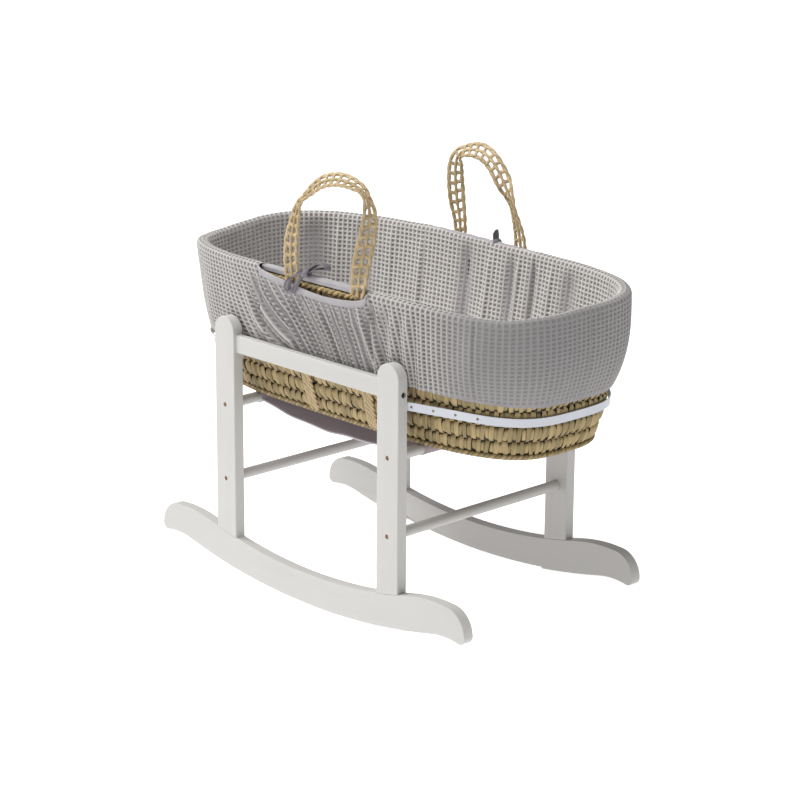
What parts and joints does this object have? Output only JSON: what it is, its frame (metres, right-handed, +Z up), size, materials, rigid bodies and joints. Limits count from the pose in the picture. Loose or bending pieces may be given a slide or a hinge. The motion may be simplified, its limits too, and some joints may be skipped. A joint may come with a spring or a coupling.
{
  "type": "moses basket on rocking stand",
  "caption": "Woven palm Moses basket with a grey waffle fabric liner and two carrying handles, resting on a white wooden rocking stand.",
  "frame": {"origin": "point of the floor midway between the two rockers and midway along them, where the stand rests level", "axes": "+X along the rockers and the basket, from head to foot; +Y from the near side frame to the far one; +Z up"},
  "size_m": [0.8546, 0.414, 0.7363],
  "materials": {
    "painted_wood": "white satin paint on wood",
    "coppered_steel": "copper-coloured screws",
    "black_steel": "blackened bolts",
    "beech": "bare beech",
    "zinc_steel": "zinc plated",
    "sling_cloth": "plain woven cotton",
    "white_plastic": "smooth moulded strap",
    "palm_weave": "plaited palm leaf",
    "palm_plait": "open plaited palm leaf",
    "waffle_cloth": "waffle weave cotton",
    "grey_tape": "plain woven tape",
    "white_cotton": "quilted cotton"
  },
  "bodies": {
    "stand": {"near_rocker": "painted_wood", "far_rocker": "painted_wood", "near_head_post": "painted_wood", "far_head_post": "painted_wood", "near_foot_post": "painted_wood", "far_foot_post": "painted_wood", "near_side_rail": "painted_wood", "far_side_rail": "painted_wood", "head_upper_dowel": "painted_wood", "foot_upper_dowel": "painted_wood", "head_lower_dowel": "painted_wood", "foot_lower_dowel": "painted_wood", "dowel_screws": "coppered_steel", "rail_bolts": "black_steel", "post_pins": "beech", "band_screws": "zinc_steel", "sling": "sling_cloth", "head_band": "white_plastic", "foot_band": "white_plastic"},
    "basket": {"basket_base": "palm_weave", "basket_wall": "palm_weave", "basket_rim": "palm_weave", "near_handle_roots": "palm_plait", "far_handle_roots": "palm_plait", "liner": "waffle_cloth", "hem_tape": "grey_tape", "near_slit_tape": "grey_tape", "far_slit_tape": "grey_tape", "near_tie": "grey_tape", "far_tie": "grey_tape"},
    "near_handle": {"near_handle": "palm_plait"},
    "far_handle": {"far_handle": "palm_plait"},
    "mattress": {"mattress": "white_cotton"}
  },
  "joints": [
    {"name": "basket_lift", "type": "slide", "parent": "stand", "child": "basket", "axis": [0, 0, 1], "range_m": [0, 0.2]},
    {"name": "mattress_lift", "type": "slide", "parent": "basket", "child": "mattress", "axis": [0, 0, 1], "range_m": [0, 0.19]},
    {"name": "near_handle_fold", "type": "hinge", "parent": "basket", "child": "near_handle", "pos_m": [0.015, -0.1979, 0.572], "axis": [1, 0, 0], "range_deg": [-70, 80]},
    {"name": "far_handle_fold", "type": "hinge", "parent": "basket", "child": "far_handle", "pos_m": [0.015, 0.1979, 0.572], "axis": [-1, 0, 0], "range_deg": [-70, 80]}
  ]
}
